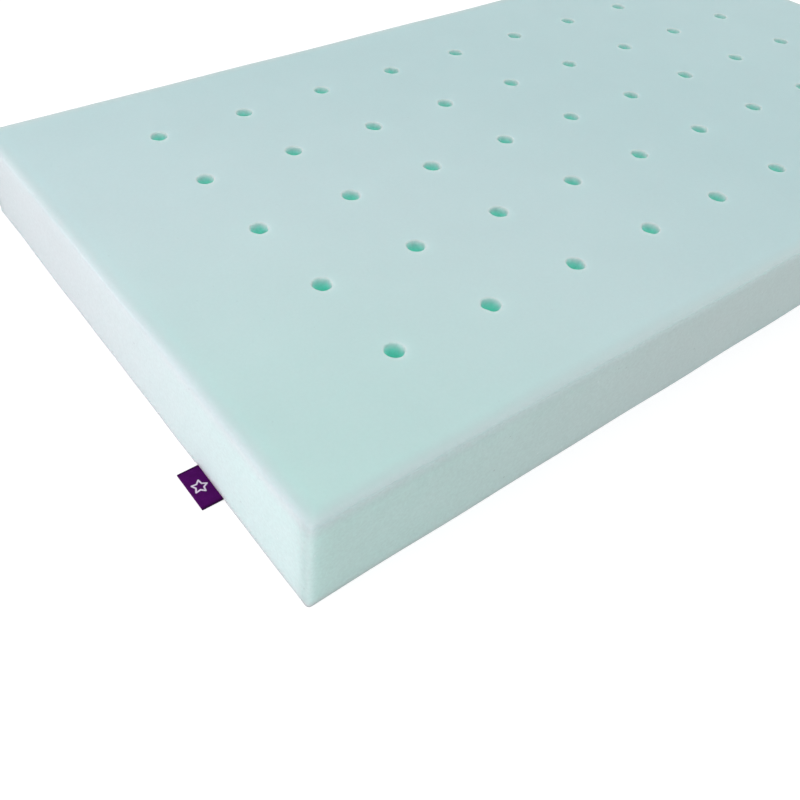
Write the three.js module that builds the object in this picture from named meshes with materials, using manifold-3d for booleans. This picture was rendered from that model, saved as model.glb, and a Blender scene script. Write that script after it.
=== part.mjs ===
// A crib mattress: one slab of soft foam pierced by rows of upright vent holes, with a folded woven
// tag that comes out from under one short end.
// Millimetres, +Z up. The origin lies at floor level in the middle of the footprint, tag included;
// +X runs along the length of the mattress and +Y across it. The tag is at the -X end, in the half
// nearer -Y.

import * as THREE from 'three';
import { mergeVertices } from 'three/addons/utils/BufferGeometryUtils.js';
import Module from 'manifold-3d';

// The slab
const LENGTH = 1320;
const WIDTH = 700;
const THICKNESS = 110;
const ARRIS_RADIUS = 3;
const ARRIS_STEPS = 3;
const CORNER_RADIUS = 4;
const CORNER_STEPS = 3;

// The vent holes, a grid centred on the slab
const VENT_DIAMETER = 20;
const VENT_EASE = 0.8;
const VENT_SIDES = 16;
const VENT_COLUMNS = 9;
const VENT_ROWS = 5;
const VENT_PITCH_X = 121;
const VENT_PITCH_Y = 115;

// The tag: a woven ribbon folded once, its two tails tucked under the slab
const TAG_WIDTH = 48;
const TAG_SHOWN = 22;
const TAG_TUCKED = 20;
const TAG_PLY = 1;
const TAG_PLY_GAP = 0.4;
const TAG_FROM_LONG_SIDE = 136;
const FOLD_STEPS = 6;

// The space that touching pieces keep, and how far a cutting tool runs past a face
const SEAT_GAP = 0.3;
const OVERCUT = 1;

// Sizes that follow from the ones above
const TAG_THICKNESS = 2 * TAG_PLY + TAG_PLY_GAP;
const END_FACE_X = -LENGTH / 2;
const TAG_NEAR_Y = -WIDTH / 2 + TAG_FROM_LONG_SIDE;

const FOAM_FINISH = { color: 0xc6e1df, roughness: 0.95, metalness: 0 };
const TAG_FINISH = { color: 0x47165f, roughness: 0.8, metalness: 0 };

const wasm = await Module();
wasm.setup();

// A closed geometry as a solid that can be cut. Its shared vertices are merged first, and the
// triangles that merging has closed to a line, at a lathe's poles, are left out.
function solidFromGeometry(geometry) {
  const bare = geometry.clone();
  bare.deleteAttribute('normal');
  bare.deleteAttribute('uv');
  const merged = mergeVertices(bare);
  const index = merged.index.array;
  const triangles = [];
  for (let i = 0; i < index.length; i += 3) {
    const [a, b, c] = [index[i], index[i + 1], index[i + 2]];
    if (a !== b && b !== c && c !== a) {
      triangles.push(a, b, c);
    }
  }
  const vertProperties = new Float32Array(merged.attributes.position.array);
  const triVerts = new Uint32Array(triangles);
  return new wasm.Manifold(new wasm.Mesh({ numProp: 3, vertProperties, triVerts }));
}

// A cut solid as a geometry that a mesh can show
function geometryFromSolid(solid) {
  const { vertProperties, triVerts } = solid.getMesh();
  const geometry = new THREE.BufferGeometry();
  geometry.setAttribute('position', new THREE.BufferAttribute(vertProperties, 3));
  geometry.setIndex(new THREE.BufferAttribute(triVerts, 1));
  geometry.computeVertexNormals();
  return geometry;
}

// The slab's plan: a rectangle whose upright corners are rounded
function slabOutline() {
  const x = LENGTH / 2;
  const y = WIDTH / 2;
  const r = CORNER_RADIUS;
  const outline = new THREE.Shape();
  outline.absarc(x - r, y - r, r, 0, Math.PI / 2);
  outline.absarc(-x + r, y - r, r, Math.PI / 2, Math.PI);
  outline.absarc(-x + r, -y + r, r, Math.PI, 1.5 * Math.PI);
  outline.absarc(x - r, -y + r, r, 1.5 * Math.PI, 2 * Math.PI);
  outline.closePath();
  return outline;
}

// The uncut slab. The bevel rounds the arrises of both faces inwards, so the plan keeps its size.
function slabGeometry() {
  const geometry = new THREE.ExtrudeGeometry(slabOutline(), {
    depth: THICKNESS - 2 * ARRIS_RADIUS,
    curveSegments: CORNER_STEPS,
    bevelEnabled: true,
    bevelThickness: ARRIS_RADIUS,
    bevelSize: ARRIS_RADIUS,
    bevelOffset: -ARRIS_RADIUS,
    bevelSegments: ARRIS_STEPS,
  });
  geometry.translate(0, 0, ARRIS_RADIUS);
  return geometry;
}

// The tool that punches one vent: a round bar whose ends flare at 45 degrees, so that the mouth is
// eased by VENT_EASE where the flare crosses the top and the base
function ventToolGeometry() {
  const bore = VENT_DIAMETER / 2;
  const flare = bore + VENT_EASE + OVERCUT;
  const profile = [
    new THREE.Vector2(0, -OVERCUT),
    new THREE.Vector2(flare, -OVERCUT),
    new THREE.Vector2(bore, VENT_EASE),
    new THREE.Vector2(bore, THICKNESS - VENT_EASE),
    new THREE.Vector2(flare, THICKNESS + OVERCUT),
    new THREE.Vector2(0, THICKNESS + OVERCUT),
  ];
  const geometry = new THREE.LatheGeometry(profile, VENT_SIDES);
  geometry.rotateX(Math.PI / 2);
  return geometry;
}

// The centres of the vents, column by column along the length
function ventCentres() {
  const centres = [];
  for (let column = 0; column < VENT_COLUMNS; column += 1) {
    for (let row = 0; row < VENT_ROWS; row += 1) {
      const x = (column - (VENT_COLUMNS - 1) / 2) * VENT_PITCH_X;
      const y = (row - (VENT_ROWS - 1) / 2) * VENT_PITCH_Y;
      centres.push(new THREE.Vector2(x, y));
    }
  }
  return centres;
}

// The room for the tag's tucked end, open at the base and at the end face
function tagPocketGeometry() {
  const depth = TAG_TUCKED + SEAT_GAP;
  const height = TAG_THICKNESS + SEAT_GAP;
  const width = TAG_WIDTH + 2 * SEAT_GAP;
  const geometry = new THREE.BoxGeometry(depth + OVERCUT, width, height + OVERCUT);
  geometry.translate(
    END_FACE_X + (depth - OVERCUT) / 2,
    TAG_NEAR_Y + TAG_WIDTH / 2,
    (height - OVERCUT) / 2,
  );
  return geometry;
}

// The foam core: the slab, less its vents and the tag's pocket
function makeFoamCore() {
  let core = solidFromGeometry(slabGeometry());
  const ventTool = solidFromGeometry(ventToolGeometry());
  for (const centre of ventCentres()) {
    core = core.subtract(ventTool.translate([centre.x, centre.y, 0]));
  }
  core = core.subtract(solidFromGeometry(tagPocketGeometry()));
  const mesh = new THREE.Mesh(geometryFromSolid(core), new THREE.MeshStandardMaterial(FOAM_FINISH));
  mesh.name = 'foam_core';
  return mesh;
}

// The tag's section, seen along its width: the lower ply runs out from under the slab, turns round
// a small open fold and comes back as the upper ply
function tagSection() {
  const outerRadius = TAG_THICKNESS / 2;
  const innerRadius = TAG_PLY_GAP / 2;
  const tuckedEnd = TAG_TUCKED;
  const foldCentre = -TAG_SHOWN + outerRadius;
  const section = new THREE.Shape();
  section.moveTo(tuckedEnd, TAG_THICKNESS);
  section.lineTo(foldCentre, TAG_THICKNESS);
  section.absarc(foldCentre, outerRadius, outerRadius, Math.PI / 2, 1.5 * Math.PI);
  section.lineTo(tuckedEnd, 0);
  section.lineTo(tuckedEnd, TAG_PLY);
  section.lineTo(foldCentre, TAG_PLY);
  section.absarc(foldCentre, outerRadius, innerRadius, 1.5 * Math.PI, Math.PI / 2, true);
  section.lineTo(tuckedEnd, TAG_PLY + TAG_PLY_GAP);
  section.closePath();
  return section;
}

// The tag: its section drawn out over the ribbon's width, lying flat at floor level
function makeSideTag() {
  const geometry = new THREE.ExtrudeGeometry(tagSection(), {
    depth: TAG_WIDTH,
    curveSegments: FOLD_STEPS,
    bevelEnabled: false,
  });
  geometry.rotateX(Math.PI / 2);
  geometry.translate(0, TAG_WIDTH, 0);
  const mesh = new THREE.Mesh(geometry, new THREE.MeshStandardMaterial(TAG_FINISH));
  mesh.name = 'side_tag';
  mesh.position.set(END_FACE_X, TAG_NEAR_Y, 0);
  return mesh;
}

// The pieces are drawn about the middle of the slab, and the group then moves along X by half of
// what the tag adds to the length
const mattress = new THREE.Group();
mattress.name = 'crib_mattress';
mattress.position.x = TAG_SHOWN / 2;
mattress.add(makeFoamCore());
mattress.add(makeSideTag());

export default mattress;
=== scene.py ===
"""A crib mattress: a slab of mint green foam with punched vent holes, and a folded woven tag.

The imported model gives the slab's and the tag's place and size. Both are made again here as finer
meshes: the slab with rounded edges, slightly uneven faces and vents that differ a little, and the
tag as a ribbon that is folded once and tucked under the foam. All lengths are in metres.
"""

import logging
import math
from dataclasses import dataclass, field
from enum import Enum
from typing import Callable, Mapping

import bpy
import numpy as np
from mathutils import Matrix, Vector


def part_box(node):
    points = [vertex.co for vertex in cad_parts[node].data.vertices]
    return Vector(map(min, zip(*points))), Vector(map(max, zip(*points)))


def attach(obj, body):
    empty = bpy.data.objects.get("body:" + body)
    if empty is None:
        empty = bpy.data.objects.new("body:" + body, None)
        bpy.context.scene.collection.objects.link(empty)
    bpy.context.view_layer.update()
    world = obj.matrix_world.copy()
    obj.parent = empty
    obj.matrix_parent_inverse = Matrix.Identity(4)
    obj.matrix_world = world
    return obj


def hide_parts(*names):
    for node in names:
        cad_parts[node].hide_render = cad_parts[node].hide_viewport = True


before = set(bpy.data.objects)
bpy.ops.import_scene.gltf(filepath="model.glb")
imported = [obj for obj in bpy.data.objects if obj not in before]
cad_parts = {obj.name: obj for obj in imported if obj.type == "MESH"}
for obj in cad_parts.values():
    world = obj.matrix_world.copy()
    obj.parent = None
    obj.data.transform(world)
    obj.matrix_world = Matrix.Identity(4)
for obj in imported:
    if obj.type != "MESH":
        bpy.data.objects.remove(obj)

LOG = logging.getLogger("crib_mattress")
BODY = "root"
MILLIMETRE = 0.001
TAG_HEIGHT = 1.8 * MILLIMETRE

# Short names for types that many signatures have
Tree = bpy.types.NodeTree
Socket = bpy.types.NodeSocket
Colour = tuple[float, float, float, float]
Span = tuple[float, float]


class Part(Enum):
    """The pieces of the mattress, by the names of the CAD nodes that they replace."""

    CORE = "foam_core"
    TAG = "side_tag"


class Slot(Enum):
    """The record's material slots."""

    FOAM = "foam"
    RIBBON = "tag_ribbon"


# Meshes


@dataclass
class Shell:
    """A mesh in the making: points, groups of faces with equal corner counts, point values."""

    points: np.ndarray
    faces: list[np.ndarray]
    values: dict[str, np.ndarray] = field(default_factory=dict)

    def join(self, other: "Shell") -> "Shell":
        """Puts two shells into one.

        Args:
            other: A shell with the same point values.

        Returns:
            A shell that holds the points and faces of both.
        """
        shift = len(self.points)
        moved = [faces + shift for faces in other.faces]
        values = {name: np.concatenate([kept, other.values[name]]) for name, kept in self.values.items()}
        return Shell(np.concatenate([self.points, other.points]), self.faces + moved, values)

    def weld(self, reach: float = 0.01 * MILLIMETRE) -> "Shell":
        """Merges the points that fall on the same step of a fine grid.

        Args:
            reach: The step of the grid.

        Returns:
            The shell with each such place held by one point.
        """
        steps = np.round(self.points / reach).astype(np.int64)
        _, first, renamed = np.unique(steps, axis=0, return_index=True, return_inverse=True)
        renamed = renamed.reshape(-1)
        values = {name: kept[first] for name, kept in self.values.items()}
        return Shell(self.points[first], [renamed[faces] for faces in self.faces], values)

    def to_object(self, name: str) -> bpy.types.Object:
        """Makes the Blender object, at the origin, smooth shaded.

        Args:
            name: The object's name.

        Returns:
            The object, linked to the scene.
        """
        corners = np.concatenate([faces.reshape(-1) for faces in self.faces])
        counts = np.concatenate([np.full(len(faces), faces.shape[1]) for faces in self.faces])
        mesh = bpy.data.meshes.new(name)
        mesh.vertices.add(len(self.points))
        mesh.vertices.foreach_set("co", self.points.astype(np.float32).reshape(-1))
        mesh.loops.add(len(corners))
        mesh.loops.foreach_set("vertex_index", corners.astype(np.int32))
        mesh.polygons.add(len(counts))
        mesh.polygons.foreach_set("loop_start", (np.cumsum(counts) - counts).astype(np.int32))
        mesh.polygons.foreach_set("use_smooth", np.ones(len(counts), dtype=bool))
        mesh.update(calc_edges=True)
        for value_name, values in self.values.items():
            flat = values.ndim == 1
            kind, key = ("FLOAT", "value") if flat else ("FLOAT_VECTOR", "vector")
            attribute = mesh.attributes.new(value_name, kind, "POINT")
            attribute.data.foreach_set(key, values.astype(np.float32).reshape(-1))
        mesh.validate()
        made = bpy.data.objects.new(name, mesh)
        bpy.context.scene.collection.objects.link(made)
        return made


def grid_faces(rows: int, columns: int, closed: bool) -> np.ndarray:
    """The four-cornered faces of a grid whose points are numbered row by row.

    A face's normal is the row direction crossed with the column direction.

    Args:
        rows: How many rows of points there are.
        columns: How many points a row has.
        closed: Whether the last column is joined to the first.

    Returns:
        One line of four point numbers for each face.
    """
    row = np.arange(rows - 1)[:, None]
    column = np.arange(columns if closed else columns - 1)[None, :]
    after = (column + 1) % columns
    here, there = row * columns, (row + 1) * columns
    around = [here + column, there + column, there + after, here + after]
    return np.stack([np.broadcast_to(a, around[0].shape) for a in around], axis=-1).reshape(-1, 4)


def rounded_loop(half_x: float, half_y: float, corner: float, steps: tuple[int, int],
                 arc: int) -> tuple[np.ndarray, np.ndarray]:
    """A rectangle with rounded corners, run round anticlockwise from the corner at -X -Y.

    On each side the first and last few steps turn by an eighth of a circle and the rest run
    straight. The other three sides are the first one turned by quarter turns.

    Args:
        half_x: Half the rectangle's size along X.
        half_y: Half its size along Y.
        corner: The corners' radius.
        steps: How many steps a side along X and a side along Y have.
        arc: How many of a side's steps lie on the arc at each of its ends.

    Returns:
        The points and the outward normals, each as an array of x and y.
    """
    points, normals = [], []
    for side in range(4):
        along, across, count = (half_x, half_y, steps[0]) if side % 2 == 0 else (half_y, half_x, steps[1])
        index = np.arange(count)
        straight = np.clip((index - arc) / (count - 2 * arc), 0, 1)
        ends = max(arc, 1)
        turn = np.clip((index - count + arc) / ends, 0, 1) - np.clip((arc - index) / ends, 0, 1)
        angle = math.radians(-90) + math.radians(45) * turn * (arc > 0)
        normal = np.stack([np.cos(angle), np.sin(angle)], axis=1)
        centre = np.stack([(2 * straight - 1) * (along - corner), np.full(count, corner - across)], axis=1)
        quarter = side * math.pi / 2
        turned = np.array([[math.cos(quarter), math.sin(quarter)], [-math.sin(quarter), math.cos(quarter)]])
        points.append((centre + corner * normal) @ turned)
        normals.append(normal @ turned)
    return np.concatenate(points), np.concatenate(normals)


def smooth_step(value: np.ndarray) -> np.ndarray:
    """The cubic that eases from 0 to 1 while its input goes from 0 to 1."""
    held = np.clip(value, 0, 1)
    return held * held * (3 - 2 * held)


@dataclass(frozen=True)
class Edge:
    """How a slab's face runs into its wall: rows over the flat part, then a quarter circle.

    The rows are given as shares of the flat part, from its far side to the 0 of the circle's start.
    """

    flat: tuple[float, ...]
    radius: float
    turn_steps: int

    def rows(self) -> tuple[np.ndarray, np.ndarray, np.ndarray]:
        """Each row's share of the flat part, its distance from the wall's plane, and its sink."""
        turn = np.linspace(0, math.pi / 2, self.turn_steps + 1)[1:]
        share = np.concatenate([self.flat, np.zeros(self.turn_steps)])
        inset = self.radius * np.concatenate([np.ones(len(self.flat)), 1 - np.sin(turn)])
        sink = self.radius * np.concatenate([np.zeros(len(self.flat)), 1 - np.cos(turn)])
        return share, inset, sink


def edged_section(top: Edge, base: Edge, wall_steps: int,
                  thickness: float) -> tuple[np.ndarray, np.ndarray, np.ndarray]:
    """The rows of a section that runs over a slab's top, round its edge, down a wall and back.

    Args:
        top: The edge between the top and the wall.
        base: The edge between the wall and the base.
        wall_steps: How many rows the wall has between its two edges.
        thickness: The slab's thickness.

    Returns:
        Each row's share of the flat part, its distance from the wall's plane, and its height.
    """
    top_share, top_inset, top_sink = top.rows()
    base_share, base_inset, base_sink = (values[::-1] for values in base.rows())
    wall = np.linspace(thickness - top.radius, base.radius, wall_steps + 2)[1:-1]
    flat = np.zeros(wall_steps)
    return (np.concatenate([top_share, flat, base_share]),
            np.concatenate([top_inset, flat, base_inset]),
            np.concatenate([thickness - top_sink, wall, base_sink]))


# The foam core


@dataclass
class FoamCore:
    """The slab: a grid of vent cells, and a rim band that closes the slab around them.

    The corner's radius is no less than the top edge's, or the rounded edge would fold over itself.
    All that varies by chance comes from one seeded generator.
    """

    # The rim band: its edges, its upright corners, and how finely it is divided
    top_edge: Edge = Edge((0.8, 0.5, 0.3, 0.19, 0.12, 0.07, 0.035, 0.0), 3.6 * MILLIMETRE, 5)
    base_edge: Edge = Edge((0.6, 0.3, 0.12, 0.0), 0.6 * MILLIMETRE, 2)
    corner: float = 3.9 * MILLIMETRE
    corner_steps: int = 5
    side_steps: int = 12
    rim_split: int = 4
    side_slope: float = 0.3

    # The vents and the cells around them
    columns: int = 9
    rows: int = 5
    pitch_x: float = 121 * MILLIMETRE
    pitch_y: float = 115 * MILLIMETRE
    cell_steps: int = 12
    mouth: Edge = Edge((1.0, 0.62, 0.3, 0.1, 0.0), 1.6 * MILLIMETRE, 4)
    bore: float = 10 * MILLIMETRE
    bore_steps: int = 5
    waist: float = 0.7 * MILLIMETRE

    # What varies: a vent's place and width, how ragged edges are, and the slab as a whole
    punch_drift: float = 0.36 * MILLIMETRE
    punch_play: float = 0.12 * MILLIMETRE
    ragged: float = 0.12 * MILLIMETRE
    ragged_waves: tuple[int, ...] = (2, 3, 4, 5, 6)
    unevenness: float = 0.35 * MILLIMETRE
    wave_count: int = 9
    wave_lengths: Span = (0.07, 0.4)
    seed: int = 7

    # How far light seeps round an edge: across the upright corners, on the top towards an end,
    # and elsewhere. The least gap keeps a point on an edge from dividing by nothing.
    upright_seep: float = 34 * MILLIMETRE
    end_seep: float = 18 * MILLIMETRE
    end_share: float = 0.6
    crisp_seep: float = 2 * MILLIMETRE
    least_gap: float = 0.001 * MILLIMETRE

    # How far from the tag the foam has given way
    tag_room: float = 0.3 * MILLIMETRE
    give_beside: float = 7 * MILLIMETRE
    give_behind: float = 14 * MILLIMETRE
    give_above: float = 16 * MILLIMETRE

    def __post_init__(self) -> None:
        """Reads the slab's and the tag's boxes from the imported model."""
        self.low, self.high = (np.array(corner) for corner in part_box(Part.CORE.value))
        self.tag_low, self.tag_high = (np.array(corner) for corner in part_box(Part.TAG.value))
        self.middle = (self.low + self.high) / 2
        self.thickness = float(self.high[2] - self.low[2])
        self.random = np.random.default_rng(self.seed)

    def vent_cell(self, column: int, row: int) -> Shell:
        """One cell of the grid, pierced by its vent.

        On top and on the base a point lies on the straight line from the vent's wall to the
        cell's edge. The wall is a circle with a slight waist, a little off its mark, whose radius
        varies by a few sines of the angle.

        Args:
            column: The cell's place along the length.
            row: The cell's place across the width.

        Returns:
            The cell's surface, open along the cell's edge on top and on the base.
        """
        share, inset, height = (values[:, None] for values in edged_section(
            self.mouth, self.mouth, self.bore_steps, self.thickness))
        edge, _ = rounded_loop(self.pitch_x / 2, self.pitch_y / 2, 0, (self.cell_steps,) * 2, 0)
        around = np.radians(-135) + np.arange(len(edge)) * 2 * math.pi / len(edge)
        off_x, off_y, wide = self.random.normal(0, 1, 3)
        radius = self.bore + self.punch_play * wide
        for waves in self.ragged_waves:
            radius = radius + self.ragged * self.random.normal() * np.sin(
                waves * around + self.random.uniform(0, 2 * math.pi))
        waist = self.waist * np.sin(math.pi * height / self.thickness)
        wall = radius + inset - waist
        x = (1 - share) * (wall * np.cos(around) + self.punch_drift * off_x) + share * edge[:, 0]
        y = (1 - share) * (wall * np.sin(around) + self.punch_drift * off_y) + share * edge[:, 1]
        centre_x = (column - (self.columns - 1) / 2) * self.pitch_x
        centre_y = (row - (self.rows - 1) / 2) * self.pitch_y
        z = np.broadcast_to(height, x.shape)
        points = np.stack([x + centre_x, y + centre_y, z], axis=-1).reshape(-1, 3)
        depth = np.where(inset < self.mouth.radius, np.minimum(self.thickness - z, z), 0)
        faces = grid_faces(len(share), len(edge), closed=True)[:, ::-1]
        return Shell(points, [faces], {"vent_depth": depth.reshape(-1)})

    def rim_band(self) -> Shell:
        """The slab from the outermost cells' edges out over the rim, down the sides and back.

        It is a section carried round the slab. Near the cells a ring of many-cornered faces
        splits each step into finer ones, so that the rim can be slightly ragged and the base
        can follow the tag.

        Returns:
            The band's surface, open along the cells' edges on top and on the base.
        """
        coarse_steps = (self.columns * self.cell_steps, self.rows * self.cell_steps)
        fine_steps = (coarse_steps[0] * self.rim_split, coarse_steps[1] * self.rim_split)
        field_x, field_y = self.columns * self.pitch_x / 2, self.rows * self.pitch_y / 2
        half = (self.high - self.low) / 2
        coarse, _ = rounded_loop(field_x, field_y, 0, coarse_steps, 0)
        inner, _ = rounded_loop(field_x, field_y, 0, fine_steps, 0)
        outer, normal = rounded_loop(half[0], half[1], self.corner, fine_steps, self.corner_steps)
        share, inset, height = (values[:, None, None] for values in edged_section(
            self.top_edge, self.base_edge, self.side_steps, self.thickness))
        ring_count, ring_size = len(height), len(inner)
        on_edge = np.sin(math.pi * inset / self.top_edge.radius)
        rough = self.ragged * on_edge * self.random.normal(0, 1, (ring_count, ring_size, 1))
        plan = share * inner + (1 - share) * (outer - (inset + rough) * normal)
        z = np.broadcast_to(height, (ring_count, ring_size, 1))
        rings = np.concatenate([plan, z], axis=2).reshape(-1, 3)
        edge_top = np.column_stack([coarse, np.full(len(coarse), self.thickness)])
        edge_base = np.column_stack([coarse, np.zeros(len(coarse))])
        points = np.concatenate([rings, edge_top, edge_base])
        first_top, first_base = len(rings), len(rings) + len(coarse)
        step = np.arange(len(coarse))
        after = (step + 1) % len(coarse)
        fine = (step[:, None] * self.rim_split + np.arange(self.rim_split + 1)) % ring_size
        last_ring = (ring_count - 1) * ring_size
        split_top = np.column_stack([first_top + step, fine, first_top + after])
        split_base = np.column_stack([last_ring + fine[:, 0], first_base + step, first_base + after,
                                      last_ring + fine[:, :0:-1]])
        faces = [grid_faces(ring_count, ring_size, closed=True), split_top, split_base]
        return Shell(points, faces, {"vent_depth": np.zeros(len(points))})

    def wave(self, points: np.ndarray) -> np.ndarray:
        """A slow wave over the slab: sines that run in random directions, added up.

        Their sum is divided by the square root of how many there are.

        Args:
            points: Where the wave is wanted.

        Returns:
            One number for each point, mostly between -1.5 and 1.5.
        """
        total = np.zeros(len(points))
        for _ in range(self.wave_count):
            direction = self.random.normal(0, 1, 3)
            direction /= np.linalg.norm(direction)
            length = self.random.uniform(*self.wave_lengths)
            phase = self.random.uniform(0, 2 * math.pi)
            total += np.sin(2 * math.pi * (points @ direction) / length + phase)
        return total / math.sqrt(self.wave_count)

    def make_uneven(self, points: np.ndarray) -> np.ndarray:
        """Moves the points a little along each axis by a slow wave of its own.

        The upright wave grows from nothing on the base, which stays flat, to its full size on top.

        Args:
            points: The slab's points, about the middle of its base.

        Returns:
            The moved points.
        """
        share = np.ones(points.shape)
        share[:, 2] = points[:, 2] / self.thickness
        waves = np.column_stack([self.wave(points) for _ in range(3)])
        return points + self.unevenness * waves * share

    def lift_over_tag(self, points: np.ndarray) -> np.ndarray:
        """Lifts the foam's underside off the tucked tag, as soft foam gives over a ribbon.

        The lift is the tag's height with a little room. It is eased to nothing beside the tag,
        behind its tucked end and further up in the foam.

        Args:
            points: The slab's points in the row frame.

        Returns:
            The moved points.
        """
        x, y, z = points.T
        tag_middle = (self.tag_low[1] + self.tag_high[1]) / 2
        tag_half = (self.tag_high[1] - self.tag_low[1]) / 2
        past_side = np.abs(y - tag_middle) - tag_half - self.tag_room
        past_end = x - self.tag_high[0]
        share = 1 - smooth_step(z / self.give_above)
        share *= 1 - smooth_step(past_side / self.give_beside)
        share *= 1 - smooth_step(past_end / self.give_behind)
        moved = points.copy()
        moved[:, 2] += share * (TAG_HEIGHT + self.tag_room)
        return moved

    def soft_normals(self, points: np.ndarray, plain: np.ndarray) -> np.ndarray:
        """Shading normals that turn slowly near some edges, because light seeps through the foam.

        Each face pulls the normal its way by how near the point is to it: fully on the face,
        and not at all from a reach onwards. The ends pull with only a share of that. The reach
        depends on the face that the point lies on. It is long across the upright corners, less
        long on the top towards an end, and short elsewhere. Away from the edges, and on the base,
        nothing changes.

        Args:
            points: The slab's points, about the middle of its base.
            plain: The mesh's own normals.

        Returns:
            The normals, one for each point.
        """
        half = (self.high - self.low) / 2
        under_faces = np.column_stack([half[:2] - np.abs(points[:, :2]), self.thickness - points[:, 2]])
        gap = np.maximum(under_faces, self.least_gap)
        reaches = np.full((3, 3), self.crisp_seep)
        reaches[0, 1] = reaches[1, 0] = self.upright_seep
        reaches[0, 2] = self.end_seep
        pull = np.empty_like(gap)
        for axis in range(3):
            first, second = (other for other in range(3) if other != axis)
            reach = (reaches[axis, first] * gap[:, second] + reaches[axis, second] * gap[:, first]) / (
                gap[:, first] + gap[:, second])
            pull[:, axis] = 2 - 2 * smooth_step(gap[:, axis] / (2 * reach) + 0.5)
        pull[:, 0] *= self.end_share
        soft = pull * np.column_stack([np.sign(points[:, :2]), np.ones(len(points))])
        soft /= np.maximum(np.linalg.norm(soft, axis=1, keepdims=True), np.finfo(float).eps)
        near = np.sort(gap, axis=1)
        share = (1 - smooth_step(near[:, 1:2] / self.upright_seep)) * (
            1 - smooth_step(near[:, :1] / (2 * self.crisp_seep)))
        mixed = plain + share * (soft - plain)
        return mixed / np.linalg.norm(mixed, axis=1, keepdims=True)

    def mark_surface(self, shell: Shell) -> None:
        """Gives the slab the point values that its finish reads.

        A point counts as cut by how far it is from the top or the base, less a share of how far
        it is from the sides, and in a vent it counts fully. The edge's distance is the greater of
        those from the top and from the nearest side. The corner's distance is measured along the
        top from the upright corner at -X -Y.

        Args:
            shell: The slab, about the middle of its base.
        """
        half = (self.high - self.low) / 2
        x, y, z = shell.points.T
        from_side = np.minimum(half[0] - np.abs(x), half[1] - np.abs(y))
        from_flat = np.minimum(z, self.thickness - z)
        cut = smooth_step((from_flat - self.side_slope * from_side) / self.top_edge.radius)
        shell.values["cut_side"] = np.where(shell.values["vent_depth"] > 0, 1.0, cut)
        shell.values["edge_distance"] = np.maximum(self.thickness - z, np.maximum(from_side, 0))
        shell.values["corner_distance"] = np.hypot(x + half[0], y + half[1])

    def build(self) -> bpy.types.Object:
        """Makes the slab's mesh.

        Returns:
            The foam core, with its vents' depth, its sides and its edges as point values.
        """
        shell = self.rim_band()
        for column in range(self.columns):
            for row in range(self.rows):
                shell = shell.join(self.vent_cell(column, row))
        shell = shell.weld()
        self.mark_surface(shell)
        centred = self.make_uneven(shell.points)
        shell.points = self.lift_over_tag(centred + np.array([self.middle[0], self.middle[1], self.low[2]]))
        made = shell.to_object("mattress_foam")
        plain = np.empty(3 * len(shell.points), dtype=np.float32)
        made.data.vertex_normals.foreach_get("vector", plain)
        made.data.normals_split_custom_set_from_vertices(self.soft_normals(centred, plain.reshape(-1, 3)))
        return made


# The tag


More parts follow.
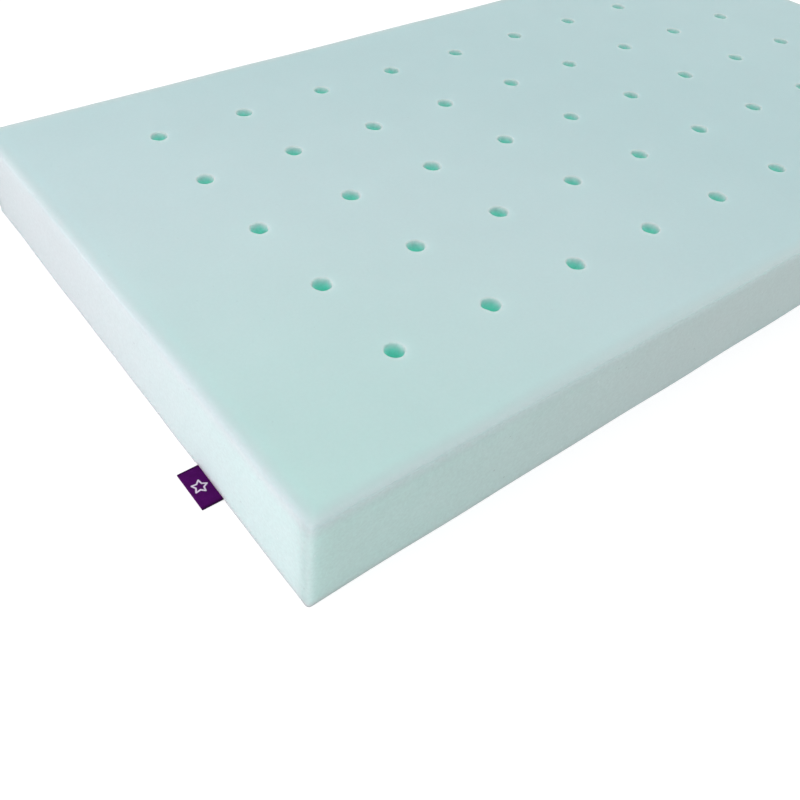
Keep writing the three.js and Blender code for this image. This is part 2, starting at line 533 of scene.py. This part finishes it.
@dataclass
class FoldedTag:
    """The woven ribbon, folded once at its free end, with both tails tucked under the foam."""

    ply: float = 0.7 * MILLIMETRE
    height: float = TAG_HEIGHT
    puff: float = 0.35 * MILLIMETRE
    droop_reach: float = 6 * MILLIMETRE
    star_radius: float = 7.6 * MILLIMETRE
    star_waist: float = 0.52
    thread: float = 1.5 * MILLIMETRE
    lower_points: int = 40
    fold_points: int = 13
    shown_points: int = 64
    tucked_points: int = 15
    across_points: int = 129

    def __post_init__(self) -> None:
        """Reads the tag's box and the slab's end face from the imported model."""
        self.low, self.high = (np.array(corner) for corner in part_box(Part.TAG.value))
        self.end_face = float(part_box(Part.CORE.value)[0][0])
        self.width = float(self.high[1] - self.low[1])

    def path(self) -> tuple[np.ndarray, np.ndarray]:
        """The ribbon's middle line, seen from its side: lower tail, fold, upper tail.

        The upper ply runs level, swells slightly between the fold and the foam, and the fold is
        half a circle.

        Returns:
            The line's points as x and z, and the length along it at each point.
        """
        radius = (self.height - self.ply) / 2
        fold_x = self.low[0] + radius + self.ply / 2
        lower_z, upper_z = self.ply / 2, self.height - self.ply / 2
        lower_x = np.linspace(self.high[0], fold_x, self.lower_points)
        lower = np.column_stack([lower_x, np.full(self.lower_points, lower_z)])
        turn = np.linspace(-math.pi / 2, -1.5 * math.pi, self.fold_points + 2)[1:-1]
        fold = np.column_stack([fold_x + radius * np.cos(turn), self.height / 2 + radius * np.sin(turn)])
        upper_x = np.concatenate([
            np.linspace(fold_x, self.end_face, self.shown_points),
            np.linspace(self.end_face, self.high[0], self.tucked_points + 1)[1:]])
        shown = np.clip((upper_x - fold_x) / (self.end_face - fold_x), 0, 1)
        upper = np.column_stack([upper_x, upper_z + self.puff * np.sin(math.pi * shown) ** 2])
        line = np.concatenate([lower, fold, upper])
        run = np.concatenate([[0], np.cumsum(np.linalg.norm(np.diff(line, axis=0), axis=1))])
        return line, run

    def star(self, x: np.ndarray, y: np.ndarray) -> np.ndarray:
        """How strongly a plain five-pointed star's outline covers a point of the upper ply.

        Each fifth of the star is folded onto one half of a point, whose edge is a straight line
        from the tip to the notch. The cover is 1 within a quarter of the thread's width from that
        line, and falls to 0 at three quarters of it.

        Args:
            x: Distance from the star's middle, towards the foam.
            y: Distance from the star's middle, along the ribbon's width.

        Returns:
            The cover, from 0 to 1.
        """
        fifth = 2 * math.pi / 5
        angle = np.abs((np.arctan2(y, x) + fifth / 2) % fifth - fifth / 2)
        radius = np.hypot(x, y)
        px, py = radius * np.cos(angle), radius * np.sin(angle)
        tip = np.array([self.star_radius, 0.0])
        notch = self.star_radius * self.star_waist * np.array([math.cos(fifth / 2), math.sin(fifth / 2)])
        edge = notch - tip
        along = np.clip(((px - tip[0]) * edge[0] + (py - tip[1]) * edge[1]) / (edge @ edge), 0, 1)
        away = np.hypot(px - tip[0] - along * edge[0], py - tip[1] - along * edge[1])
        return smooth_step(1.5 - 2 * away / self.thread)

    def build(self) -> bpy.types.Object:
        """Makes the ribbon's sheet and gives it its thickness.

        The upper ply's swell is left out at the ribbon's long edges, which lie level.

        Returns:
            The tag, with its own lengths and its star as point values.
        """
        line, run = self.path()
        across = np.linspace(self.low[1], self.high[1], self.across_points)
        from_edge = np.minimum(across - self.low[1], self.high[1] - across)
        edge_droop = smooth_step(1 - from_edge / self.droop_reach)
        x = np.broadcast_to(line[:, :1], (len(line), len(across)))
        y = np.broadcast_to(across, x.shape)
        lift = line[:, 1:] - (self.height - self.ply / 2)
        z = line[:, 1:] - np.maximum(lift, 0) * edge_droop
        points = np.stack([x, y, z], axis=-1).reshape(-1, 3)
        own = np.stack([np.broadcast_to(run[:, None], x.shape), y - self.low[1], np.zeros(x.shape)], axis=-1)
        middle_x = (self.low[0] + self.end_face) / 2
        cover = self.star(x - middle_x, y - (self.low[1] + self.high[1]) / 2) * (z > self.height / 2)
        faces = grid_faces(len(line), len(across), closed=False)
        values = {"along_ribbon": own.reshape(-1, 3), "star": cover.reshape(-1)}
        made = Shell(points, [faces], values).to_object("mattress_tag")
        thickness = made.modifiers.new("ply", "SOLIDIFY")
        thickness.thickness = self.ply
        thickness.offset = 0
        return made


# Finishes


def add_node(tree: Tree, kind: str, **settings: object) -> bpy.types.Node:
    """Adds a shader node.

    Args:
        tree: The tree that it goes into.
        kind: The node's type, such as ShaderNodeMath.
        **settings: The node's own properties.

    Returns:
        The node.
    """
    node = tree.nodes.new(kind)
    for name, value in settings.items():
        setattr(node, name, value)
    return node


def feed(tree: Tree, socket: Socket, value: object) -> None:
    """Links another node's output into a socket, or sets the socket's own value.

    Args:
        tree: The tree that holds the socket.
        socket: The input.
        value: An output socket, or a plain value.
    """
    if isinstance(value, Socket):
        tree.links.new(value, socket)
    else:
        socket.default_value = value


def combine(tree: Tree, operation: str, *values: object) -> Socket:
    """A Math node's result.

    Args:
        tree: The tree that it goes into.
        operation: The node's operation, such as MULTIPLY.
        *values: Its inputs, as sockets or numbers.

    Returns:
        The output socket.
    """
    node = add_node(tree, "ShaderNodeMath", operation=operation)
    for socket, value in zip(node.inputs, values):
        feed(tree, socket, value)
    return node.outputs[0]


def blend_colours(tree: Tree, share: object, first: object, second: object) -> Socket:
    """The mix of two colours.

    Args:
        tree: The tree that it goes into.
        share: How much of the second colour there is, from 0 to 1.
        first: The first colour, as a socket or as four numbers.
        second: The second colour.

    Returns:
        The output socket.
    """
    node = add_node(tree, "ShaderNodeMix", data_type="RGBA")
    for socket, value in zip((node.inputs[0], node.inputs[6], node.inputs[7]), (share, first, second)):
        feed(tree, socket, value)
    return node.outputs[2]


def ease(tree: Tree, value: object, low: float, high: float) -> Socket:
    """A smooth step from 0 at low to 1 at high.

    Args:
        tree: The tree that it goes into.
        value: What is stepped.
        low: Where the step starts.
        high: Where it ends; it may be the smaller number, which turns the step round.

    Returns:
        The output socket.
    """
    node = add_node(tree, "ShaderNodeMapRange", interpolation_type="SMOOTHSTEP")
    flip = high < low
    for name, number in {"From Min": min(low, high), "From Max": max(low, high),
                         "To Min": float(flip), "To Max": float(not flip)}.items():
        node.inputs[name].default_value = number
    feed(tree, node.inputs["Value"], value)
    return node.outputs["Result"]


def read_value(tree: Tree, name: str, vector: bool = False) -> Socket:
    """A point value of the mesh, as a number or as a vector."""
    node = add_node(tree, "ShaderNodeAttribute", attribute_type="GEOMETRY", attribute_name=name)
    return node.outputs["Vector" if vector else "Fac"]


Entries = Mapping[str, Socket]
PutOut = Callable[[str, Socket], None]


@dataclass(frozen=True)
class EffectGroup:
    """A shader node group with named inputs and outputs, made once and used in the materials."""

    name: str
    inputs: tuple[tuple[str, str, object], ...]
    outputs: tuple[tuple[str, str], ...]
    body: Callable[[Tree, Entries, PutOut], None]

    def tree(self) -> Tree:
        """The group's tree, made the first time that it is asked for."""
        known = bpy.data.node_groups.get(self.name)
        if known is not None:
            return known
        tree = bpy.data.node_groups.new(self.name, "ShaderNodeTree")
        for name, kind, start in self.inputs:
            socket = tree.interface.new_socket(name, in_out="INPUT", socket_type=kind)
            if start is not None:
                socket.default_value = start
        for name, kind in self.outputs:
            tree.interface.new_socket(name, in_out="OUTPUT", socket_type=kind)
        entry = add_node(tree, "NodeGroupInput")
        leave = add_node(tree, "NodeGroupOutput")

        def put_out(name: str, value: Socket) -> None:
            """Links a result to one of the group's outputs."""
            tree.links.new(value, leave.inputs[name])

        self.body(tree, entry.outputs, put_out)
        return tree

    def place(self, tree: Tree, **values: object) -> bpy.types.Node:
        """Puts the group into a material.

        Args:
            tree: The material's tree.
            **values: The inputs by name, with _ for a space, as sockets or plain values.

        Returns:
            The group's node.
        """
        node = add_node(tree, "ShaderNodeGroup", node_tree=self.tree())
        for name, value in values.items():
            feed(tree, node.inputs[name.replace("_", " ")], value)
        return node


def mottle_body(tree: Tree, entry: Entries, put_out: PutOut) -> None:
    """Cloudy variation about nought: noise of the given patch size, less its own mean.

    Args:
        tree: The group's tree.
        entry: The group's inputs by name.
        put_out: Links a result to an output.
    """
    noise = add_node(tree, "ShaderNodeTexNoise", noise_dimensions="3D")
    feed(tree, noise.inputs["Vector"], entry["Vector"])
    feed(tree, noise.inputs["Scale"], combine(tree, "DIVIDE", 1.0, entry["Patch Size"]))
    noise.inputs["Detail"].default_value = 3.0
    noise.inputs["Roughness"].default_value = 0.55
    put_out("Variation", combine(tree, "SUBTRACT", noise.outputs["Fac"], 0.5))


@dataclass(frozen=True)
class RareCell:
    """A pore (painted shade) or a painted glint: how many there are to a cell along a line, and how far each
    reaches.

    The reach is a share of the distance between two of them. Within its inner part a rare cell
    counts fully.
    """

    output: str
    per_cell: float
    reach: float
    inner_part: float = 0.4


RARE_CELLS = (RareCell("Pores", 0.07, 0.055), RareCell("Threads", 0.085, 0.06))
GRAIN_TO_CELL = 0.6
WARP_TO_CELL = 0.8
WARP_REACH = (3 * MILLIMETRE,) * 3


def cell_body(tree: Tree, entry: Entries, put_out: PutOut) -> None:
    """Open foam cells: rounded pits on a broken grid, with a few large pores and painted glints.

    The height is the distance to the nearest cell's middle, roughened by noise. A pore or a
    glint is a much rarer cell, pushed off its place by noise, of which only the middle
    counts. The foam's finish paints pores as shade and glints as pale specks of light.

    Args:
        tree: The group's tree.
        entry: The group's inputs by name.
        put_out: Links a result to an output.
    """
    scale = combine(tree, "DIVIDE", 1.0, entry["Cell Size"])
    warp = add_node(tree, "ShaderNodeTexNoise")
    feed(tree, warp.inputs["Vector"], entry["Vector"])
    feed(tree, warp.inputs["Scale"], combine(tree, "MULTIPLY", scale, WARP_TO_CELL))
    cells = add_node(tree, "ShaderNodeTexVoronoi", feature="F1")
    feed(tree, cells.inputs["Vector"], entry["Vector"])
    feed(tree, cells.inputs["Scale"], scale)
    grain = add_node(tree, "ShaderNodeTexNoise")
    feed(tree, grain.inputs["Vector"], entry["Vector"])
    feed(tree, grain.inputs["Scale"], combine(tree, "MULTIPLY", scale, GRAIN_TO_CELL))
    grain.inputs["Detail"].default_value = 4.0
    put_out("Height", combine(tree, "ADD", cells.outputs["Distance"], grain.outputs["Fac"]))
    put_out("Grain", combine(tree, "SUBTRACT", grain.outputs["Fac"], 0.5))
    for rare in RARE_CELLS:
        pushed = add_node(tree, "ShaderNodeVectorMath", operation="MULTIPLY_ADD")
        feed(tree, pushed.inputs[0], warp.outputs["Color"])
        pushed.inputs[1].default_value = WARP_REACH
        feed(tree, pushed.inputs[2], entry["Vector"])
        sparse = add_node(tree, "ShaderNodeTexVoronoi", feature="F1")
        feed(tree, sparse.inputs["Vector"], pushed.outputs[0])
        feed(tree, sparse.inputs["Scale"], combine(tree, "MULTIPLY", scale, rare.per_cell))
        inner = rare.inner_part * rare.reach
        put_out(rare.output, ease(tree, sparse.outputs["Distance"], rare.reach, inner))


WEFT_TO_PITCH = 0.62
WEFT_HEIGHT = 0.6


def weave_body(tree: Tree, entry: Entries, put_out: PutOut) -> None:
    """A fine ribbed weave: ridges along the ribbon crossed by a shallower beat of the weft.

    Each family of ridges is the absolute value of a sine of the length over the pitch.

    Args:
        tree: The group's tree.
        entry: The group's inputs by name.
        put_out: Links a result to an output.
    """
    split = add_node(tree, "ShaderNodeSeparateXYZ")
    feed(tree, split.inputs[0], entry["Vector"])
    ridges = []
    for axis, per_pitch in (("X", WEFT_TO_PITCH), ("Y", 1.0)):
        turns = combine(tree, "DIVIDE", split.outputs[axis], entry["Pitch"])
        angle = combine(tree, "MULTIPLY", turns, math.pi * per_pitch)
        ridges.append(combine(tree, "ABSOLUTE", combine(tree, "SINE", angle)))
    put_out("Height", combine(tree, "MULTIPLY_ADD", ridges[0], WEFT_HEIGHT, ridges[1]))
    put_out("Valley", combine(tree, "SUBTRACT", 1.0, ridges[1]))


MOTTLE = EffectGroup(
    "mottle", (("Vector", "NodeSocketVector", None), ("Patch Size", "NodeSocketFloat", 0.05)),
    (("Variation", "NodeSocketFloat"),), mottle_body)
OPEN_CELLS = EffectGroup(
    "open_cells", (("Vector", "NodeSocketVector", None), ("Cell Size", "NodeSocketFloat", 0.001)),
    (("Height", "NodeSocketFloat"), ("Grain", "NodeSocketFloat"), ("Pores", "NodeSocketFloat"),
     ("Threads", "NodeSocketFloat")), cell_body)
RIBBED_WEAVE = EffectGroup(
    "ribbed_weave", (("Vector", "NodeSocketVector", None), ("Pitch", "NodeSocketFloat", 0.0005)),
    (("Height", "NodeSocketFloat"), ("Valley", "NodeSocketFloat")), weave_body)


def new_material(name: str) -> tuple[bpy.types.Material, Tree, bpy.types.Node]:
    """A material with a Principled shader and nothing else.

    Args:
        name: The material's name.

    Returns:
        The material, its tree and its Principled BSDF node.
    """
    material = bpy.data.materials.new(name)
    material.use_nodes = True
    tree = material.node_tree
    tree.nodes.clear()
    shader = add_node(tree, "ShaderNodeBsdfPrincipled")
    output = add_node(tree, "ShaderNodeOutputMaterial")
    tree.links.new(shader.outputs[0], output.inputs["Surface"])
    return material, tree, shader


def feed_base_colour(tree: Tree, shader: bpy.types.Node, colour: Socket, brightness: Socket) -> None:
    """Gives a shader its base colour.

    Args:
        tree: The material's tree.
        shader: The Principled BSDF node.
        colour: The colour.
        brightness: A number that the colour is multiplied by.
    """
    shade = add_node(tree, "ShaderNodeVectorMath", operation="SCALE")
    feed(tree, shade.inputs[0], colour)
    feed(tree, shade.inputs["Scale"], brightness)
    feed(tree, shader.inputs["Base Color"], shade.outputs[0])


def feed_relief(tree: Tree, shader: bpy.types.Node, height: Socket, depth: float,
                strength: float) -> None:
    """Gives a shader a bumpy surface.

    Args:
        tree: The material's tree.
        shader: The Principled BSDF node.
        height: The relief's height.
        depth: How deep a height of 1 is.
        strength: How strongly the relief tells.
    """
    bump = add_node(tree, "ShaderNodeBump")
    bump.inputs["Distance"].default_value = depth
    bump.inputs["Strength"].default_value = strength
    feed(tree, bump.inputs["Height"], height)
    feed(tree, shader.inputs["Normal"], bump.outputs[0])


def by_cut(tree: Tree, cut_side: Socket, amounts: Span) -> Socket:
    """A number that goes from its first value on a face to its second on a cut side."""
    on_face, on_cut = amounts
    return combine(tree, "MULTIPLY_ADD", cut_side, on_cut - on_face, on_face)


@dataclass(frozen=True)
class FoamFinish:
    """Soft mint green foam: smooth faces, open-celled cut sides, and vents painted a deeper green for the
    light that bounces inside them.

    A span is where a colour starts to show and where it shows fully, as distances from the upright
    corner, from the top edges or down a vent. An amount is a number for the faces and one for the
    cut sides.
    """

    # The faces and the sides, and how they change away from the upright corner beside the tag: painted shade
    # on the faces farther off, a painted glow near it
    face: Colour = (0.525, 0.7, 0.695, 1.0)
    # Painted shade: the faces darker and less red farther from the upright corner, where the light falls off
    far_face_painted_shade: Colour = (0.46, 0.655, 0.655, 1.0)
    far_span: Span = (0.3, 0.9)
    side: Colour = (0.495, 0.622, 0.605, 1.0)
    # Painted glow: a greener tone near the upright corner, for light that seeps through the foam there
    corner: Colour = (0.498, 0.728, 0.68, 1.0)
    corner_glow_span: Span = (0.5, 0.0)
    corner_glow_share: float = 0.8

    # Painted shade along the top edges: a darker band, and a darker line in its middle, wavy by the grain
    # Painted shade: a band that darkens the foam within 20 mm of the top edges
    rim: Colour = (0.49, 0.61, 0.6, 1.0)
    rim_shade_span: Span = (20 * MILLIMETRE, 0.0)
    # Painted shade: a darker line on the arris, so that no bright line shows there
    edge_line_painted_shade: Colour = (0.4, 0.535, 0.53, 1.0)
    edge_line_span: Span = (6 * MILLIMETRE, 0.0)
    edge_line_share: float = 0.5
    edge_line_waver: float = 3 * MILLIMETRE

    # The foam's cells, its grain and its clouds, with painted shade in the pores and painted glints on the
    # cell walls
    cell_size: float = 1.8 * MILLIMETRE
    patch_size: float = 90 * MILLIMETRE
    # Painted shade: the colour of the shade inside large pores
    pore: Colour = (0.3, 0.42, 0.41, 1.0)
    pore_shade_amounts: Span = (0.15, 0.7)
    # Painted glints: pale specks where cell walls catch the light. On the ribbon the same name is the star's
    # real pale thread
    pale_thread_and_glint: Colour = (0.66, 0.76, 0.76, 1.0)
    glint_amounts: Span = (0.1, 0.65)
    grain_amounts: Span = (0.05, 0.2)
    cloud_amount: float = 0.05
    relief_amounts: Span = (0.2, 1.0)
    relief_depth: float = 0.15 * MILLIMETRE
    relief_strength: float = 0.5

    # The vents' walls, painted a deeper green for the light that bounces inside them, and a painted glow for
    # the light that the foam around them lets through
    # Painted bounce light: deeper, more saturated greens down the vents, for light that bounces between
    # their walls
    shallow_vent_painted_bounce: Colour = (0.42, 0.8, 0.72, 1.0)
    shallow_span: Span = (0.0, 11 * MILLIMETRE)
    deep_vent_painted_bounce: Colour = (0.3, 0.92, 0.78, 1.0)
    deep_span: Span = (4 * MILLIMETRE, 20 * MILLIMETRE)
    # Painted glow: a faint emission on the vent walls, for light that the foam around them lets through
    vent_glow: Colour = (0.012, 0.04, 0.042, 1.0)
    no_glow: Colour = (0.0, 0.0, 0.0, 1.0)
    glow_span: Span = (0.0, 16 * MILLIMETRE)
    glow_end_span: Span = (55 * MILLIMETRE, 30 * MILLIMETRE)

    # How light meets the foam and goes on inside it
    roughness: float = 0.95
    specular: float = 0.15
    scatter: tuple[float, float, float] = (1.0, 1.25, 1.2)
    scatter_depth: float = 20 * MILLIMETRE

    def colour(self, tree: Tree, cells: bpy.types.Node, cut_side: Socket, depth: Socket) -> Socket:
        """The foam's colour before its grain: the face, with each further colour laid over it.

        Args:
            tree: The material's tree.
            cells: The foam's cells.
            cut_side: How far a point is a cut side's.
            depth: How far down a vent a point is.

        Returns:
            The colour.
        """
        from_corner = read_value(tree, "corner_distance")
        from_edge = read_value(tree, "edge_distance")
        near_corner_glow = ease(tree, from_corner, *self.corner_glow_span)
        waver = combine(tree, "MULTIPLY", cells.outputs["Grain"], self.edge_line_waver)
        on_line = ease(tree, combine(tree, "ADD", from_edge, waver), *self.edge_line_span)
        pores, glints = (
            combine(tree, "MULTIPLY", cells.outputs[name], by_cut(tree, cut_side, amounts))
            for name, amounts in (("Pores", self.pore_shade_amounts), ("Threads", self.glint_amounts)))
        layers = (
            # Painted shade on the faces away from the upright corner
            (ease(tree, from_corner, *self.far_span), self.far_face_painted_shade),
            (cut_side, self.side),
            # Painted glow near the upright corner
            (combine(tree, "MULTIPLY", near_corner_glow, self.corner_glow_share), self.corner),
            # Painted shade along the top edges: the band, then the line on the arris
            (ease(tree, from_edge, *self.rim_shade_span), self.rim),
            (combine(tree, "MULTIPLY", on_line, self.edge_line_share), self.edge_line_painted_shade),
            # Painted shade in the pores
            (pores, self.pore),
            # Painted glints on the cell walls
            (glints, self.pale_thread_and_glint),
            # Painted bounce light down the vents
            (ease(tree, depth, *self.shallow_span), self.shallow_vent_painted_bounce),
            (ease(tree, depth, *self.deep_span), self.deep_vent_painted_bounce),
        )
        colour = self.face
        for share, layer in layers:
            colour = blend_colours(tree, share, colour, layer)
        return colour

    def make(self) -> bpy.types.Material:
        """Makes the foam's material.

        Returns:
            The material.
        """
        material, tree, shader = new_material("mint_foam")
        place = add_node(tree, "ShaderNodeTexCoord").outputs["Object"]
        cells = OPEN_CELLS.place(tree, Vector=place, Cell_Size=self.cell_size)
        clouds = MOTTLE.place(tree, Vector=place, Patch_Size=self.patch_size)
        cut_side = read_value(tree, "cut_side")
        depth = read_value(tree, "vent_depth")
        grain = combine(tree, "MULTIPLY", cells.outputs["Grain"], by_cut(tree, cut_side, self.grain_amounts))
        brightness = combine(tree, "MULTIPLY_ADD", clouds.outputs["Variation"], self.cloud_amount,
                             combine(tree, "ADD", grain, 1.0))
        feed_base_colour(tree, shader, self.colour(tree, cells, cut_side, depth), brightness)
        relief = combine(tree, "MULTIPLY", cells.outputs["Height"],
                         by_cut(tree, cut_side, self.relief_amounts))
        feed_relief(tree, shader, relief, self.relief_depth, self.relief_strength)
        # Painted glow: the vent walls emit, rising over the first 16 mm down and fading towards the slab's
        # middle
        lit = combine(tree, "MULTIPLY", ease(tree, depth, *self.glow_span),
                      ease(tree, depth, *self.glow_end_span))
        feed(tree, shader.inputs["Emission Color"], blend_colours(tree, lit, self.no_glow, self.vent_glow))
        shader.inputs["Emission Strength"].default_value = 1.0
        shader.inputs["Roughness"].default_value = self.roughness
        shader.inputs["Specular IOR Level"].default_value = self.specular
        shader.inputs["Subsurface Weight"].default_value = 1.0
        shader.inputs["Subsurface Radius"].default_value = self.scatter
        shader.inputs["Subsurface Scale"].default_value = self.scatter_depth
        material.cycles.emission_sampling = "NONE"
        return material


@dataclass(frozen=True)
class RibbonFinish:
    """Deep purple woven ribbon with darker selvedges and a star woven in a pale thread."""

    ground: Colour = (0.08, 0.004, 0.112, 1.0)
    selvedge: Colour = (0.045, 0.002, 0.06, 1.0)
    selvedge_insets: Span = (3.5 * MILLIMETRE, 0.5 * MILLIMETRE)
    pale_thread_and_glint: Colour = (0.82, 0.74, 0.86, 1.0)
    pitch: float = 0.5 * MILLIMETRE
    patch_size: float = 6 * MILLIMETRE
    patch_amount: float = 0.5
    valley_shade: float = -0.35
    relief_depth: float = 0.12 * MILLIMETRE
    relief_strength: float = 0.6
    roughness: float = 0.7
    specular: float = 0.03

    def make(self, width: float) -> bpy.types.Material:
        """Makes the ribbon's material.

        Args:
            width: The ribbon's width, for the darker selvedges.

        Returns:
            The material.
        """
        material, tree, shader = new_material("purple_ribbon")
        own = read_value(tree, "along_ribbon", vector=True)
        weave = RIBBED_WEAVE.place(tree, Vector=own, Pitch=self.pitch)
        patches = MOTTLE.place(tree, Vector=own, Patch_Size=self.patch_size)
        split = add_node(tree, "ShaderNodeSeparateXYZ")
        feed(tree, split.inputs[0], own)
        from_middle = combine(tree, "ABSOLUTE", combine(tree, "SUBTRACT", split.outputs["Y"], width / 2))
        edge = ease(tree, from_middle, *(width / 2 - inset for inset in self.selvedge_insets))
        colour = blend_colours(tree, edge, self.ground, self.selvedge)
        colour = blend_colours(tree, read_value(tree, "star"), colour, self.pale_thread_and_glint)
        valley = combine(tree, "MULTIPLY_ADD", weave.outputs["Valley"], self.valley_shade, 1.0)
        brightness = combine(tree, "MULTIPLY_ADD", patches.outputs["Variation"], self.patch_amount, valley)
        feed_base_colour(tree, shader, colour, brightness)
        feed_relief(tree, shader, weave.outputs["Height"], self.relief_depth, self.relief_strength)
        shader.inputs["Roughness"].default_value = self.roughness
        shader.inputs["Specular IOR Level"].default_value = self.specular
        return material


# The studio


@dataclass(frozen=True)
class SoftLight:
    """A square softbox that faces the mattress."""

    name: str
    place: tuple[float, float, float]
    size: float
    power: float
    tint: tuple[float, float, float]

    def build(self) -> None:
        """Makes the light and turns it to the origin."""
        light = bpy.data.lights.new(self.name, "AREA")
        light.energy, light.size, light.color = self.power, self.size, self.tint
        made = bpy.data.objects.new(self.name, light)
        bpy.context.scene.collection.objects.link(made)
        made.location = self.place
        made.rotation_euler = (-Vector(self.place)).to_track_quat("-Z", "Y").to_euler()


@dataclass
class Studio:
    """A pale floor, an even surround, and one soft key light that stands low off the tag's end.

    The camera sees the floor and the backdrop as white. They light the mattress more dimly.
    """

    floor_size: float = 16.0
    floor_gap: float = 0.1 * MILLIMETRE
    floor_colour: Colour = (0.5, 0.5, 0.5, 1.0)
    floor_glow: Colour = (0.19, 0.19, 0.19, 1.0)
    floor_white: Colour = (0.64, 0.64, 0.64, 1.0)
    backdrop: Colour = (1.0, 1.0, 1.0, 1.0)
    surround: Colour = (0.9, 0.885, 0.9, 1.0)
    key: SoftLight = SoftLight("soft_key", (-1.75, -0.1, 0.45), 0.9, 8.4, (1.0, 0.75, 0.87))

    def make_floor(self) -> None:
        """Lays the floor a hair under the mattress. Seen from below it is clear."""
        plan = self.floor_size / 2 * np.array([[-1, -1], [1, -1], [1, 1], [-1, 1]])
        corners = np.column_stack([plan, np.full(len(plan), -self.floor_gap)])
        floor = Shell(corners, [np.array([[0, 1, 2, 3]])]).to_object("studio_floor")
        material, tree, shader = new_material("pale_floor")
        seen = add_node(tree, "ShaderNodeLightPath").outputs["Is Camera Ray"]
        glow = blend_colours(tree, seen, self.floor_glow, self.floor_white)
        feed(tree, shader.inputs["Emission Color"], glow)
        shader.inputs["Base Color"].default_value = self.floor_colour
        shader.inputs["Roughness"].default_value = 0.9
        shader.inputs["Specular IOR Level"].default_value = 0.0
        shader.inputs["Emission Strength"].default_value = 1.0
        material.cycles.emission_sampling = "NONE"
        below = add_node(tree, "ShaderNodeNewGeometry").outputs["Backfacing"]
        one_sided = add_node(tree, "ShaderNodeMixShader")
        clear = add_node(tree, "ShaderNodeBsdfTransparent")
        for socket, value in zip(one_sided.inputs, (below, shader.outputs[0], clear.outputs[0])):
            feed(tree, socket, value)
        tree.links.new(one_sided.outputs[0], tree.nodes["Material Output"].inputs["Surface"])
        floor.data.materials.append(material)

    def make_surround(self) -> None:
        """Lights the room from all sides; the camera itself sees an even pale backdrop."""
        world = bpy.data.worlds.new("pale_surround")
        world.use_nodes = True
        tree = world.node_tree
        tree.nodes.clear()
        seen = add_node(tree, "ShaderNodeLightPath").outputs["Is Camera Ray"]
        background = add_node(tree, "ShaderNodeBackground")
        feed(tree, background.inputs["Color"], blend_colours(tree, seen, self.surround, self.backdrop))
        tree.links.new(background.outputs[0], add_node(tree, "ShaderNodeOutputWorld").inputs["Surface"])
        bpy.context.scene.world = world

    def build(self) -> None:
        """Makes the floor and the lights, and keeps colours as they are."""
        self.make_floor()
        self.make_surround()
        self.key.build()
        bpy.context.scene.view_settings.view_transform = "Standard"


@dataclass
class PhotoCamera:
    """A camera that stands where the photograph was taken from.

    The aim is given by its heading, turned from +X towards +Y, its fall below the level and its
    roll. The lens and the shift follow from the picture's focal length and middle, in pixels.
    """

    place: tuple[float, float, float] = (-0.8604, -0.6421, 0.6193)
    heading: float = 51.16
    fall: float = 44.34
    roll: float = 3.74
    picture: int = 800
    focal_pixels: float = 836.0
    middle_pixels: tuple[float, float] = (344.8, 379.5)
    sensor: float = 36.0

    def build(self) -> None:
        """Makes the camera and gives it to the scene."""
        data = bpy.data.cameras.new("photo_camera")
        data.sensor_width = self.sensor
        data.lens = self.focal_pixels / self.picture * self.sensor
        data.shift_x = 0.5 - self.middle_pixels[0] / self.picture
        data.shift_y = self.middle_pixels[1] / self.picture - 0.5
        data.clip_start, data.clip_end = 0.02, 50.0
        camera = bpy.data.objects.new("photo_camera", data)
        bpy.context.scene.collection.objects.link(camera)
        turned = Matrix.Rotation(math.radians(self.heading - 90), 4, "Z")
        tipped = Matrix.Rotation(math.radians(90 - self.fall), 4, "X")
        rolled = Matrix.Rotation(math.radians(self.roll), 4, "Z")
        camera.matrix_world = Matrix.Translation(self.place) @ turned @ tipped @ rolled
        bpy.context.scene.camera = camera


def finish_piece(piece: bpy.types.Object, part: Part, material: bpy.types.Material) -> None:
    """Dresses a piece and puts it in its CAD node's place.

    Args:
        piece: The piece.
        part: The CAD node that it replaces.
        material: The piece's material.
    """
    piece.data.materials.append(material)
    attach(piece, BODY)
    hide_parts(part.value)
    LOG.info("%s: %d points, %d faces", piece.name, len(piece.data.vertices), len(piece.data.polygons))


def main() -> None:
    logging.basicConfig(level=logging.INFO, format="%(message)s")
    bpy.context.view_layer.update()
    PhotoCamera().build()
    Studio().build()
    core = FoamCore().build()
    finish_piece(core, Part.CORE, FoamFinish().make())
    ribbon = FoldedTag()
    tag = ribbon.build()
    finish_piece(tag, Part.TAG, RibbonFinish().make(ribbon.width))


if __name__ == "__main__":
    main()
